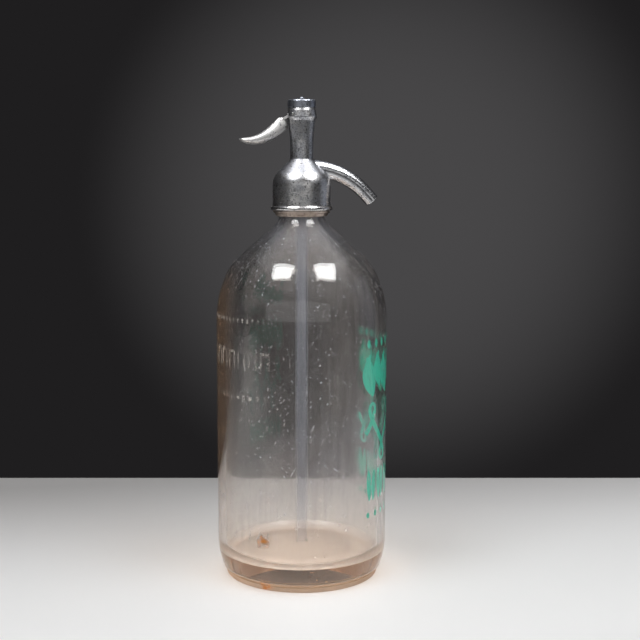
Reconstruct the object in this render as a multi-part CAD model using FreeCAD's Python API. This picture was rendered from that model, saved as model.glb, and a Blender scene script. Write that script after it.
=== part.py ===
"""Glass soda siphon with a plated head, a thumb lever and a downward spout.

Millimetres. The origin is the centre of the foot on the table, +Z is up and +X points the way the
spout pours, so the thumb lever reaches out towards -X. Every piece is one STEP file in parts/.

The glass bottle carries a split ring below its lip. The bell of the head screws onto that ring and
pulls a rubber gasket down on the lip. A valve seat at the top of the dip tube is shut by a sprung
piston; the lever hooks under the piston's crosshead and lifts it off the seat.
"""

import FreeCAD, Part
import math
import os

V = FreeCAD.Vector

# Shared fits and edges
fit_gap = 0.1                 # between pieces that are screwed or pressed together
running_clearance = 0.08      # rod in its guides
solder_gap = 0.03             # spout in its socket
turned_edge = 0.3             # chamfer on pieces cut from bar, and on rubber rings
fine_edge = 0.2

# Glass bottle
bottle_radius = 53.5
glass_wall = 5.0
floor_height = 13.8           # top of the thick glass floor, from the table
floor_corner_round = 9.0
foot_radius = 48.0            # outer edge of the rim the bottle stands on
foot_rim_height = 4.2
foot_rim_round = 0.7
foot_groove = 0.6             # how far the line above the rim is set in
foot_groove_round = 0.3
foot_inner_radius = 37.0
foot_inner_round = 1.5
punt_radius = 28.0
punt_depth = 3.5              # hollow under the foot
punt_curve = 20.0
heel_foot_height = 5.2
heel_height = 22.0
heel_curve = 45.0             # radius of the bulged heel, between foot and wall
body_height = 174.6           # where the wall would meet the shoulder as a sharp corner
shoulder_inset = 8.7          # first, steep stretch of the shoulder
shoulder_rise = 21.6
cone_angle = 48.4             # second stretch, from the vertical, degrees
shoulder_low_curve = 66.0
shoulder_high_curve = 33.0
neck_curve = 12.0
neck_radius = 13.5
neck_length = 11.1
neck_bore_radius = 9.0
lip_radius = 14.6
lip_height = 5.7
lip_edge_round = 1.2
lip_under_round = 0.4

# Split ring under the lip
thread_radius = 16.0          # outside of the ring, inside of the bell less the clearance
thread_clearance = 0.1
ring_top_drop = 1.0           # from the top of the lip to the top of the ring
ring_bead_radius = 18.0
ring_bead_height = 1.5
ring_bead_lean = 0.5          # how much narrower the bead is at its foot
ring_bead_round = 0.4
ring_grip_height = 2.4        # part of the ring that closes on the neck, under the lip
ring_grip_step = 1.0          # slope between the grip and the wider skirt
ring_foot_radius = 15.6
ring_foot_wall = 1.1
ring_foot_height = 2.1
ring_foot_flare = 1.1         # how far the skirt spreads towards the bead
ring_foot_round = 0.5
ring_groove = 0.4             # height of the line between the skirt and the bead
ring_groove_depth = 0.2
ring_split_gap = 0.4
packing_ring_thickness = 0.8

# Bell and dome of the head
bell_drop = 5.0               # how far the bell hangs below the underside of the lip
bell_gap_over_ring = 0.15
bell_radius = 18.1
bell_rim_radius = 19.4
bell_rim_height = 2.5
bell_rim_round = 1.0
bell_rim_fillet = 0.4
bell_shoulder_drop = 9.8      # from the foot of the column to the dome's lower corner
bell_shoulder_curve = 12.0
dome_foot_curve = 1.6         # fillet between dome and column

# Gasket, tube holder and seal
gasket_thickness = 2.0
gasket_overlap = 0.6          # how far the gasket's hole clears the neck's bore
holder_flange_radius = 14.4
holder_flange_thickness = 3.0
holder_flange_edge = 0.4
holder_neck_round = 0.8
holder_hub_radius = 9.3
holder_hub_height = 3.0
holder_hub_edge = 0.5
holder_nipple_radius = 7.3
holder_nipple_length = 10.0
seal_thickness = 1.2

# Valve seat
seat_radius = 4.4
seat_height = 1.2
seat_shank_radius = 3.4
seat_shank_length = 4.5
seat_bore_radius = 2.4
seat_rim_width = 0.9
seat_rim_height = 0.5

# Dip tube, its rubber sleeve and nut
tube_radius = 4.0
tube_bore_radius = 2.6
tube_end_round = 0.4
tube_floor_gap = 4.5          # from the glass floor to the open end of the tube
tube_socket_depth = 11.0
grommet_wall = 1.6
grommet_bead = 0.9            # bead that the nut squeezes, as wide as it is high
grommet_top_gap = 1.2
tube_nut_radius = 8.5
tube_nut_height = 5.0
tube_nut_lip = 1.6
tube_nut_clearance = 0.2
tube_nut_edge = 0.5
tube_nut_sides = 6
tube_nut_flat_depth = 0.34    # how deep each spanner flat is cut

# Valve chamber, packing and column
chamber_radius = 6.2
chamber_height = 10.0
ledge_thickness = 2.5
column_bore_radius = 5.5
column_radius = 7.2
column_foot_height = 11.3     # from the chamber's floor
column_height = 25.0          # from the dome up to the collar
column_flare_radius = 8.5
column_flare_length = 11.0
column_flare_curve = 40.0
collar_radius = 9.6
collar_under_round = 1.2
collar_edge_height = 2.1      # widest line of the collar, above its underside
collar_edge_round = 1.0
collar_taper = 0.7            # how much the collar narrows above that line
collar_bevel_height = 1.6
collar_bevel_curve = 3.0
collar_top_inset = 0.3        # the collar's top edge, inside the cap's
collar_height = 7.6
collar_flat_offset = 8.6      # flat where the lever enters, from the axis
collar_flat_below = 1.0       # how far the flat runs down the flare
spigot_radius = 7.0
spigot_height = 3.4
spigot_edge = 0.4
packing_height = 3.6
gland_height = 4.9
gland_slot_width = 1.6
gland_slot_depth = 1.2

# Piston and valve
rod_radius = 3.0
rod_shoulder_edge = 0.8
crosshead_clearance = 0.2
crosshead_height = 9.2
crosshead_edge = 0.5
crosshead_top_web = 0.8
mortise_height = 4.8
guide_stem_radius = 2.6
guide_stem_height = 2.6
guide_stem_edge = 0.6
disc_radius = 4.2
disc_thickness = 1.8
disc_stand_out = 0.7
valve_cup_radius = 5.0
valve_cup_height = 3.7
valve_cup_edge = 0.6
rod_tip_radius = 1.9

# Spring and cap
spring_wire_radius = 0.5
spring_turns = 2.5
spring_side_gap = 0.35
spring_ground_share = 0.25    # of the wire's radius, ground off at each end
cap_radius = 8.7
cap_height = 4.9
cap_crown = 0.8
cap_edge_round = 1.2
cap_rim_round = 0.4
cap_pip_radius = 1.2
cap_pip_top_radius = 0.84
cap_pip_height = 0.9
cap_pip_waist_height = 0.36
cap_pip_foot = 0.6            # how far the pip spreads into the crown
cap_pip_foot_round = 1.0
cap_washer_thickness = 0.5
cap_washer_bore_gap = 0.4

# Lever
pivot_offset = 6.4            # pin's distance from the axis, also the inner arm
pivot_below_collar_top = 3.8
pin_radius = 0.8
pin_edge = 0.25
pin_press = 0.01              # between the pin and its holes in the collar
pin_recess = 0.35             # how far the pin's ends stay inside the collar
tongue_width = 4.4
tongue_eye_radius = 1.7
tongue_nose_radius = 1.25
tongue_nose_gap = 0.25
slot_clearance = 0.25
slot_above_pivot = 2.4
slot_below_pivot = 11.0
slot_floor_overlap = 1.5      # how far the slot opens into the column's bore
tab_thickness = 1.4
tab_reach = 5.4               # end of the tab, out from the pin
tab_drop = 3.0
handle_root_reach = 4.1       # root of the handle, out from the pin and below it
handle_root_drop = 3.2
handle_back_reach = 11.0      # pull of the spine as it leaves the root
handle_back_drop = 10.6
handle_belly_reach = 19.5     # pull of the spine as it comes to the tip
handle_belly_drop = 18.5
handle_tip_reach = 32.3
handle_tip_drop = 15.2
handle_root_thickness = 9.5
handle_tip_thickness = 2.2
handle_thinning = 2.2         # power of the change from root to tip thickness
handle_root_width = 4.2
handle_pad_width = 10.4
handle_full_width_share = 0.62       # share of the spine where the pad is at full width
handle_root_share = 0.11             # share of the spine that rounds off the root
handle_tip_share = 0.9               # share of the spine where the tip begins to round off
handle_bluntness = 0.1               # how blunt both ends stay, as a share of those stretches
handle_dish = 0.1                    # how much flatter the thumb side is than a true oval
handle_top_fullness = 0.6            # power of the rise to the thumb side, 1 for a true oval
handle_spans = 5                     # stretches between root and tip in the loft
section_points = 14

# Spout
spout_height_above_chamber_floor = 7.1
spout_bend_radius = 47.4
spout_bend_start = 5.5        # the bend's centre, from the axis
spout_shank_start = 7.5
spout_turn = 47.0             # how far the spout points down at its mouth, degrees
spout_root_radius = 5.5
spout_tip_radius = 4.5
spout_tip_length = 7.1
spout_bore_radius = 2.9
spout_mouth_edge = 0.45
spout_sections = 6

# Heights that follow from the sizes above
shoulder_corner = (bottle_radius - shoulder_inset, body_height + shoulder_rise)
cone_tangent = math.tan(math.radians(cone_angle))
neck_base_z = shoulder_corner[1] + (shoulder_corner[0] - neck_radius) / cone_tangent
lip_under_z = neck_base_z + neck_length
lip_top_z = lip_under_z + lip_height
ring_top_z = lip_top_z - ring_top_drop
bell_cavity_radius = thread_radius + thread_clearance
holder_flange_z = lip_top_z + gasket_thickness
holder_hub_z = holder_flange_z + holder_flange_thickness
bell_ceiling_z = holder_hub_z + seal_thickness
chamber_floor_z = holder_hub_z + holder_hub_height
seat_top_z = chamber_floor_z + seat_height
chamber_top_z = chamber_floor_z + chamber_height
packing_z = chamber_top_z + ledge_thickness
gland_z = packing_z + packing_height
column_foot_z = chamber_floor_z + column_foot_height
bell_rim_z = lip_under_z - bell_drop
ring_shoulder_z = lip_under_z - packing_ring_thickness
ring_grip_z = ring_shoulder_z - ring_grip_height
ring_bead_top_z = bell_rim_z - bell_gap_over_ring
ring_bead_z = ring_bead_top_z - ring_bead_height
ring_foot_z = ring_bead_z - ring_foot_height
collar_z = column_foot_z + column_height
collar_top_z = collar_z + collar_height
pivot_z = collar_top_z - pivot_below_collar_top
spigot_top_z = collar_top_z + spigot_height
cap_ceiling_z = spigot_top_z + cap_washer_thickness
mortise_top_z = pivot_z + tongue_nose_radius + tongue_nose_gap
crosshead_top_z = mortise_top_z + crosshead_top_web
crosshead_z = crosshead_top_z - crosshead_height
spout_z = chamber_floor_z + spout_height_above_chamber_floor
valve_cup_z = seat_top_z + disc_stand_out
valve_cup_top_z = valve_cup_z + valve_cup_height
disc_recess_z = seat_top_z + disc_thickness
holder_nipple_z = holder_flange_z - holder_nipple_length
tube_socket_radius = tube_radius + grommet_wall
tube_socket_top_z = holder_nipple_z + tube_socket_depth
tube_nut_z = holder_nipple_z - grommet_bead - tube_nut_lip
pivot = V(-pivot_offset, 0, pivot_z)


def edges_of(corners, closed=True):
    """Lines and tangent arcs through (radius, height, corner round) points, in the XZ plane."""
    points = [V(r, 0, z) for r, z, _ in corners]
    count = len(points)
    runs = []
    for i, (_, _, corner_round) in enumerate(corners):
        here = points[i]
        open_end = not closed and i in (0, count - 1)
        if corner_round <= 0 or open_end:
            runs.append((here, None, here))
            continue
        back = (points[i - 1] - here).normalize()
        ahead = (points[(i + 1) % count] - here).normalize()
        half = back.getAngle(ahead) / 2
        reach = corner_round / math.tan(half)
        bisector = (back + ahead).normalize()
        centre = here + bisector * (corner_round / math.sin(half))
        middle = centre - bisector * corner_round
        runs.append((here + back * reach, middle, here + ahead * reach))
    edges = []
    for i, (start, middle, end) in enumerate(runs):
        if middle is not None:
            edges.append(Part.Arc(start, middle, end).toShape())
        if closed or i < count - 1:
            following = runs[(i + 1) % count][0]
            if not end.isEqual(following, Part.Precision.confusion()):
                edges.append(Part.makeLine(end, following))
    return edges


def revolved(edges):
    """Solid of revolution about Z from the edges of a closed outline in the XZ plane."""
    face = Part.Face(Part.Wire(Part.__sortEdges__(edges)))
    solid = face.revolve(V(0, 0, 0), V(0, 0, 1), 360)
    return solid if solid.Volume > 0 else solid.reversed()


def turned(corners):
    """Solid of revolution from a closed outline of (radius, height, corner round)."""
    return revolved(edges_of(corners))


def lathed(corners):
    """The same with chamfers in place of rounds, as on pieces cut from bar."""
    cut = []
    for i, (r, z, chamfer) in enumerate(corners):
        if chamfer <= 0:
            cut.append((r, z, 0))
            continue
        for other in (corners[i - 1], corners[(i + 1) % len(corners)]):
            point = V(r, 0, z) + V(other[0] - r, 0, other[1] - z).normalize() * chamfer
            cut.append((point.x, point.z, 0))
    return turned(cut)


def ring(inner, outer, low, high, edge=0.0):
    return lathed([(inner, low, edge), (outer, low, edge), (outer, high, edge), (inner, high, edge)])


def rod_along_y(radius, x, z, length):
    return Part.makeCylinder(radius, length, V(x, -length / 2, z), V(0, 1, 0))


def block(x_low, x_high, width, z_low, z_high):
    return Part.makeBox(x_high - x_low, width, z_high - z_low, V(x_low, -width / 2, z_low))


def shifted(corners, distances):
    """Moves each run of an open outline inwards by its own distance and meets the runs again."""
    lines = []
    for (r0, z0, _), (r1, z1, _), distance in zip(corners, corners[1:], distances):
        along = V(r1 - r0, 0, z1 - z0).normalize()
        inward = V(-along.z, 0, along.x)
        lines.append((V(r0, 0, z0) + inward * distance, along))
    met = []
    for (p, a), (q, b) in zip(lines, lines[1:]):
        across = a.x * b.z - a.z * b.x
        t = ((q.x - p.x) * b.z - (q.z - p.z) * b.x) / across
        met.append(p + a * t)
    return met


def heel_arc():
    """Bulged heel, from the bottom of the straight wall down to the foot."""
    centre_r = bottle_radius - heel_curve
    sweep = math.asin((heel_height - heel_foot_height) / heel_curve)
    points = []
    for angle in (sweep, sweep / 2, 0):
        points.append(V(centre_r + heel_curve * math.cos(angle), 0,
                        heel_height - heel_curve * math.sin(angle)))
    return Part.Arc(*points).toShape(), points[0].x


def bottle():
    """Thick glass: bulged heel, straight wall, two-stage shoulder, short neck and rolled lip."""
    outside = [
        (bottle_radius, heel_height, 0),
        (bottle_radius, body_height, shoulder_low_curve),
        (*shoulder_corner, shoulder_high_curve),
        (neck_radius, neck_base_z, neck_curve),
        (neck_radius, lip_under_z, 0),
    ]
    inside = shifted(outside, [glass_wall] * 3 + [neck_radius - neck_bore_radius])
    inside_rounds = [shoulder_low_curve - glass_wall, shoulder_high_curve - glass_wall,
                     neck_curve + glass_wall]
    heel, heel_foot_radius = heel_arc()
    foot = edges_of([
        (0, punt_depth, 0),
        (punt_radius, punt_depth, punt_curve),
        (foot_inner_radius, 0, foot_inner_round),
        (foot_radius, 0, foot_rim_round),
        (foot_radius, foot_rim_height, foot_rim_round),
        (foot_radius - foot_groove, (foot_rim_height + heel_foot_height) / 2, foot_groove_round),
        (heel_foot_radius, heel_foot_height, 0),
    ], closed=False)
    upper = [
        *outside,
        (lip_radius, lip_under_z, lip_under_round),
        (lip_radius, lip_top_z, lip_edge_round),
        (neck_bore_radius, lip_top_z, lip_edge_round),
    ]
    upper += [(p.x, p.z, r) for p, r in zip(reversed(inside), reversed(inside_rounds))]
    upper += [(bottle_radius - glass_wall, floor_height, floor_corner_round), (0, floor_height, 0)]
    axis = Part.makeLine(V(0, 0, floor_height), V(0, 0, punt_depth))
    return revolved([*foot, heel, *edges_of(upper, closed=False), axis])


def neck_ring_half(side):
    """Half of the screwed ring that grips under the glass lip, parted along the XZ plane."""
    skirt_bore = ring_foot_radius - ring_foot_wall
    skirt_top = ring_foot_radius + ring_foot_flare
    lip_bore = lip_radius + fit_gap
    neck_bore = neck_radius + fit_gap
    whole = turned([
        (skirt_bore, ring_foot_z, 0),
        (ring_foot_radius, ring_foot_z, ring_foot_round),
        (skirt_top, ring_bead_z - ring_groove, ring_foot_round),
        (skirt_top - ring_groove_depth, ring_bead_z, 0),
        (ring_bead_radius - ring_bead_lean, ring_bead_z, ring_bead_round),
        (ring_bead_radius, ring_bead_top_z, ring_bead_round),
        (thread_radius, ring_bead_top_z, 0),
        (thread_radius, ring_top_z, 0),
        (lip_bore, ring_top_z, 0),
        (lip_bore, ring_shoulder_z, 0),
        (neck_bore, ring_shoulder_z, 0),
        (neck_bore, ring_grip_z, 0),
        (skirt_bore, ring_grip_z - ring_grip_step, 0),
    ])
    reach = 2 * ring_bead_radius
    low_y = ring_split_gap / 2 if side > 0 else -ring_split_gap / 2 - reach
    keep = Part.makeBox(2 * reach, reach, reach, V(-reach, low_y, ring_foot_z - reach / 2))
    return whole.common(keep)


def lip_packing():
    return ring(neck_radius + fit_gap, lip_radius, ring_shoulder_z, lip_under_z)


def lip_gasket():
    return ring(neck_bore_radius + gasket_overlap, holder_flange_radius, lip_top_z, holder_flange_z,
                turned_edge)


def tube_holder():
    """Moulded plug in the bottle's mouth: flange on the gasket, hub in the head, nipple below."""
    shank_z = chamber_floor_z - seat_shank_length
    return lathed([
        (seat_shank_radius, chamber_floor_z, 0),
        (seat_shank_radius, shank_z, 0),
        (seat_bore_radius, shank_z, 0),
        (seat_bore_radius, tube_socket_top_z, 0),
        (tube_socket_radius, tube_socket_top_z, 0),
        (tube_socket_radius, holder_nipple_z, turned_edge),
        (holder_nipple_radius, holder_nipple_z, turned_edge),
        (holder_nipple_radius, holder_flange_z, holder_neck_round),
        (holder_flange_radius, holder_flange_z, holder_flange_edge),
        (holder_flange_radius, holder_hub_z, holder_flange_edge),
        (holder_hub_radius, holder_hub_z, 0),
        (holder_hub_radius, chamber_floor_z, holder_hub_edge),
    ])


def head_seal():
    return ring(holder_hub_radius + fit_gap, holder_flange_radius, holder_hub_z, bell_ceiling_z,
                fine_edge)


def valve_seat():
    """Nozzle screwed into the tube holder; the narrow rim on top is what the disc shuts on."""
    rim_outer = seat_bore_radius + seat_rim_width
    rim_foot_z = seat_top_z - seat_rim_height
    shank_z = chamber_floor_z - seat_shank_length
    return lathed([
        (seat_bore_radius, shank_z, 0),
        (seat_shank_radius, shank_z, turned_edge),
        (seat_shank_radius, chamber_floor_z, 0),
        (seat_radius, chamber_floor_z, 0),
        (seat_radius, rim_foot_z, turned_edge),
        (rim_outer, rim_foot_z, 0),
        (rim_outer, seat_top_z, fine_edge),
        (seat_bore_radius, seat_top_z, fine_edge),
    ])


def dip_tube():
    low = floor_height + tube_floor_gap
    return ring(tube_bore_radius, tube_radius, low, tube_socket_top_z - fit_gap, tube_end_round)


def tube_grommet():
    """Rubber sleeve round the tube's end, with a bead that the nut squeezes."""
    bead_radius = tube_socket_radius + grommet_bead
    bead_z = holder_nipple_z - grommet_bead
    top_z = tube_socket_top_z - grommet_top_gap
    return lathed([
        (tube_radius, bead_z, turned_edge),
        (bead_radius, bead_z, turned_edge),
        (bead_radius, holder_nipple_z, 0),
        (tube_socket_radius, holder_nipple_z, 0),
        (tube_socket_radius, top_z, turned_edge),
        (tube_radius, top_z, 0),
    ])


def tube_nut():
    """Cap nut on the holder's nipple, with spanner flats, closing round the tube."""
    hole = tube_radius + tube_nut_clearance
    lip_z = tube_nut_z + tube_nut_lip
    top_z = tube_nut_z + tube_nut_height
    nut = lathed([
        (hole, tube_nut_z, turned_edge),
        (tube_nut_radius, tube_nut_z, tube_nut_edge),
        (tube_nut_radius, top_z, turned_edge),
        (holder_nipple_radius, top_z, 0),
        (holder_nipple_radius, lip_z, 0),
        (hole, lip_z, 0),
    ])
    flat = block(tube_nut_radius - tube_nut_flat_depth, 2 * tube_nut_radius, 2 * tube_nut_radius,
                 tube_nut_z - tube_nut_lip, top_z + tube_nut_lip)
    for k in range(tube_nut_sides):
        nut = nut.cut(flat.rotated(V(0, 0, 0), V(0, 0, 1), 360 * k / tube_nut_sides))
    return nut


def spout_centre(turn):
    """Point on the spout's centreline and its direction, after turning down by so many radians."""
    centre_z = spout_z - spout_bend_radius
    point = V(spout_bend_start + spout_bend_radius * math.sin(turn), 0,
              centre_z + spout_bend_radius * math.cos(turn))
    return point, V(math.cos(turn), 0, -math.sin(turn))


spout_first_turn = math.asin((spout_shank_start - spout_bend_start) / spout_bend_radius)
spout_last_turn = math.radians(spout_turn)


def spout_solid(root_radius, tip_radius, past_mouth=0.0):
    """Tapered round bar along the spout's bend, ending in a straight tip."""
    sections = []
    for i in range(spout_sections + 1):
        share = i / spout_sections
        point, direction = spout_centre(spout_first_turn + (spout_last_turn - spout_first_turn) * share)
        radius = root_radius + (tip_radius - root_radius) * share
        sections.append(Part.Wire(Part.makeCircle(radius, point, direction)))
    bend = Part.makeLoft(sections, True, False)
    end, direction = spout_centre(spout_last_turn)
    tip = Part.makeCylinder(tip_radius, spout_tip_length + past_mouth, end, direction)
    return bend.fuse(tip).removeSplitter()


def spout_tube():
    """Curved, tapered pipe soldered into the dome, with a bevelled mouth."""
    inner_end, inner_direction = spout_centre(spout_first_turn)
    end, direction = spout_centre(spout_last_turn)
    mouth = end + direction * spout_tip_length
    bore = spout_solid(spout_bore_radius, spout_bore_radius, past_mouth=spout_bore_radius)
    entry = Part.makeCylinder(spout_bore_radius, 2 * spout_bore_radius,
                              inner_end - inner_direction * spout_bore_radius, inner_direction)
    tube = spout_solid(spout_root_radius, spout_tip_radius).cut(bore.fuse(entry))
    rims = [e for e in tube.Edges if e.Closed and e.CenterOfMass.isEqual(mouth, spout_mouth_edge / 10)]
    return tube.makeChamfer(spout_mouth_edge, rims)


def head_body():
    """Plated casting: bell, dome, column and collar in one, with the lever slot and spout socket."""
    dome_corner_z = column_foot_z - bell_shoulder_drop
    dome_run = bell_radius - column_radius
    guide_radius = rod_radius + running_clearance
    hub_socket_radius = holder_hub_radius + fit_gap
    body = turned([
        (bell_cavity_radius, bell_rim_z, turned_edge),
        (bell_rim_radius, bell_rim_z, bell_rim_round),
        (bell_rim_radius, bell_rim_z + bell_rim_height, bell_rim_round),
        (bell_radius, bell_rim_z + bell_rim_height, bell_rim_fillet),
        (bell_radius, dome_corner_z, bell_shoulder_curve),
        (column_radius, dome_corner_z + dome_run, dome_foot_curve),
        (column_radius, collar_z - column_flare_length, column_flare_curve),
        (column_flare_radius, collar_z, collar_under_round),
        (collar_radius, collar_z + collar_edge_height, collar_edge_round),
        (collar_radius - collar_taper, collar_top_z - collar_bevel_height, collar_bevel_curve),
        (cap_radius - collar_top_inset, collar_top_z, 0),
        (spigot_radius, collar_top_z, 0),
        (spigot_radius, spigot_top_z, spigot_edge),
        (column_bore_radius, spigot_top_z, 0),
        (column_bore_radius, packing_z, 0),
        (guide_radius, packing_z, 0),
        (guide_radius, chamber_top_z, 0),
        (chamber_radius, chamber_top_z, 0),
        (chamber_radius, chamber_floor_z, 0),
        (hub_socket_radius, chamber_floor_z, 0),
        (hub_socket_radius, bell_ceiling_z, 0),
        (bell_cavity_radius, bell_ceiling_z, 0),
    ])
    reach = 2 * collar_radius
    slot = block(-reach, -column_bore_radius + slot_floor_overlap, tongue_width + 2 * slot_clearance,
                 pivot_z - slot_below_pivot, pivot_z + slot_above_pivot)
    flat = block(-reach, -collar_flat_offset, reach, collar_z - collar_flat_below,
                 collar_top_z + spigot_height)
    socket = spout_solid(spout_root_radius + solder_gap, spout_tip_radius + solder_gap)
    inner_end, direction = spout_centre(spout_first_turn)
    port = Part.makeCylinder(spout_bore_radius, spout_shank_start, inner_end + direction, -direction)
    pin_hole = rod_along_y(pin_radius + pin_press, pivot.x, pivot.z, 2 * reach)
    return body.cut([slot, flat, socket, port, pin_hole])


def rod_packing():
    return ring(rod_radius + running_clearance, column_bore_radius, packing_z, gland_z, turned_edge)


def gland_nut():
    """Screwed bush that squeezes the packing, with a screwdriver slot across its top."""
    top_z = gland_z + gland_height
    nut = ring(rod_radius + running_clearance, column_bore_radius, gland_z, top_z, turned_edge)
    return nut.cut(block(-2 * column_bore_radius, 2 * column_bore_radius, gland_slot_width,
                         top_z - gland_slot_depth, top_z + gland_slot_depth))


def piston_rod():
    """Rod with a turned tip below, and above it the crosshead that the lever lifts."""
    crosshead_radius = column_bore_radius - crosshead_clearance
    guide_stem_top_z = crosshead_top_z + guide_stem_height
    rod = lathed([
        (0, disc_recess_z, 0),
        (rod_tip_radius, disc_recess_z, turned_edge),
        (rod_tip_radius, valve_cup_top_z, 0),
        (rod_radius, valve_cup_top_z, turned_edge),
        (rod_radius, crosshead_z, rod_shoulder_edge),
        (crosshead_radius, crosshead_z, crosshead_edge),
        (crosshead_radius, crosshead_top_z, turned_edge),
        (guide_stem_radius, crosshead_top_z, turned_edge),
        (guide_stem_radius, guide_stem_top_z, guide_stem_edge),
        (0, guide_stem_top_z, 0),
    ])
    mortise = block(-2 * crosshead_radius, 2 * crosshead_radius, tongue_width + 2 * slot_clearance,
                    mortise_top_z - mortise_height, mortise_top_z)
    return rod.cut(mortise)


def valve_cup():
    """Brass cup on the rod's tip that holds the rubber disc."""
    return lathed([
        (disc_radius, valve_cup_z, 0),
        (valve_cup_radius, valve_cup_z, turned_edge),
        (valve_cup_radius, valve_cup_top_z, valve_cup_edge),
        (rod_tip_radius, valve_cup_top_z, 0),
        (rod_tip_radius, disc_recess_z, 0),
        (disc_radius, disc_recess_z, 0),
    ])


def valve_disc():
    return Part.makeCylinder(disc_radius, disc_thickness, V(0, 0, seat_top_z))


def return_spring():
    """Short coil spring over the guide stem, its ends ground flat."""
    length = spigot_top_z - crosshead_top_z
    mean_radius = column_bore_radius - spring_side_gap - spring_wire_radius
    ground = spring_wire_radius * spring_ground_share
    pitch = (length - 2 * ground) / spring_turns
    helix = Part.makeHelix(pitch, pitch * spring_turns, mean_radius)
    helix.translate(V(0, 0, crosshead_top_z + ground))
    start = V(mean_radius, 0, crosshead_top_z + ground)
    circle = Part.Wire(Part.makeCircle(spring_wire_radius, start, V(0, 1, 0)))
    coil = Part.Wire(helix.Edges).makePipeShell([circle], True, True)
    keep = Part.makeCylinder(column_bore_radius, length, V(0, 0, crosshead_top_z))
    return coil.common(keep)


def cap_washer():
    return ring(guide_stem_radius + cap_washer_bore_gap, spigot_radius, spigot_top_z, cap_ceiling_z)


def top_cap():
    """Cap screwed over the spigot, with a low crown and a casting pip."""
    rim_z = collar_top_z + fit_gap
    edge_z = rim_z + cap_height
    crown_z = edge_z + cap_crown
    pip_z = crown_z + cap_pip_height
    bore = spigot_radius + fit_gap
    return turned([
        (bore, rim_z, 0),
        (cap_radius, rim_z, cap_rim_round),
        (cap_radius, edge_z, cap_edge_round),
        (cap_pip_radius + cap_pip_foot, crown_z, cap_pip_foot_round),
        (cap_pip_radius, crown_z + cap_pip_waist_height, turned_edge),
        (cap_pip_top_radius, pip_z, fine_edge),
        (0, pip_z, 0),
        (0, cap_ceiling_z, 0),
        (bore, cap_ceiling_z, 0),
    ])


def link(start, end, half_thickness):
    """Flat link with round ends, along the lever's plane, as wide as the tongue."""
    along = V(end - start).normalize()
    normal = V(-along.z, 0, along.x) * half_thickness
    outline = [
        Part.makeLine(start + normal, end + normal),
        Part.Arc(end + normal, end + along * half_thickness, end - normal).toShape(),
        Part.makeLine(end - normal, start - normal),
        Part.Arc(start - normal, start - along * half_thickness, start + normal).toShape(),
    ]
    face = Part.Face(Part.Wire(outline))
    face.translate(V(0, -tongue_width / 2, 0))
    return face.extrude(V(0, tongue_width, 0))


def handle_spine():
    """Cubic curve from the root of the handle to its tip."""
    reach_and_drop = [
        (handle_root_reach, handle_root_drop),
        (handle_back_reach, handle_back_drop),
        (handle_belly_reach, handle_belly_drop),
        (handle_tip_reach, handle_tip_drop),
    ]
    spine = Part.BezierCurve()
    spine.setPoles([pivot + V(-reach, 0, -drop) for reach, drop in reach_and_drop])
    return spine


def handle_section(spine, share, thickness, width):
    """Rounded D across the spine: full and round below, flatter and faintly dished on top."""
    point = spine.value(share)
    along = V(*spine.tangent(share)[0])
    up = V(along.z, 0, -along.x)
    outline = []
    for k in range(section_points):
        angle = 2 * math.pi * k / section_points
        over = math.sin(angle)
        if over > 0:
            over = over ** handle_top_fullness * (1 - handle_dish * (1 + over))
        outline.append(point + V(0, math.cos(angle) * width / 2, 0) + up * (over * thickness / 2))
    curve = Part.BSplineCurve()
    curve.interpolate(Points=outline, PeriodicFlag=True)
    return Part.Wire(curve.toShape())


def end_rounding(share):
    """Share of the full section that is left as the handle rounds off at either end."""
    if share < handle_root_share:
        into = (1 - share / handle_root_share) * (1 - handle_bluntness)
    elif share > handle_tip_share:
        into = (share - handle_tip_share) / (1 - handle_tip_share) * (1 - handle_bluntness)
    else:
        into = 0
    return math.sqrt(1 - into ** 2)


def handle():
    """Comma-shaped thumb lever: blunt round root, thinning and widening to the thumb pad."""
    spine = handle_spine()
    quarter = [math.radians(angle) for angle in (0, 30, 60, 90)]
    shares = [handle_root_share * (1 - math.cos(angle)) for angle in quarter]
    span = (handle_tip_share - handle_root_share) / handle_spans
    shares += [handle_root_share + span * k for k in range(1, handle_spans)]
    shares += [handle_tip_share + (1 - handle_tip_share) * math.sin(angle) for angle in quarter]
    sections = []
    for share in shares:
        spread = math.sin(math.pi / 2 * min(1, share / handle_full_width_share)) ** 2
        width = handle_root_width + (handle_pad_width - handle_root_width) * spread
        thinned = handle_root_thickness - handle_tip_thickness
        thickness = handle_tip_thickness + thinned * (1 - share ** handle_thinning)
        rounding = end_rounding(share)
        sections.append(handle_section(spine, share, thickness * rounding, width * rounding))
    return Part.makeLoft(sections, True, False)


def lever():
    """Handle and the flat tongue that passes the pin and hooks into the crosshead."""
    eye = rod_along_y(tongue_eye_radius, pivot.x, pivot.z, tongue_width)
    inner_arm = link(pivot, V(0, 0, pivot_z), tongue_nose_radius)
    tab = link(pivot, pivot + V(-tab_reach, 0, -tab_drop), tab_thickness / 2)
    hole = rod_along_y(pin_radius + running_clearance / 2, pivot.x, pivot.z, 2 * tongue_width)
    return handle().fuse([eye, inner_arm, tab]).cut(hole)


def lever_pin():
    half_length = math.sqrt(collar_radius ** 2 - pivot_offset ** 2) - pin_recess
    pin = rod_along_y(pin_radius, pivot.x, pivot.z, 2 * half_length)
    return pin.makeChamfer(pin_edge, [e for e in pin.Edges if e.Closed])


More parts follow.
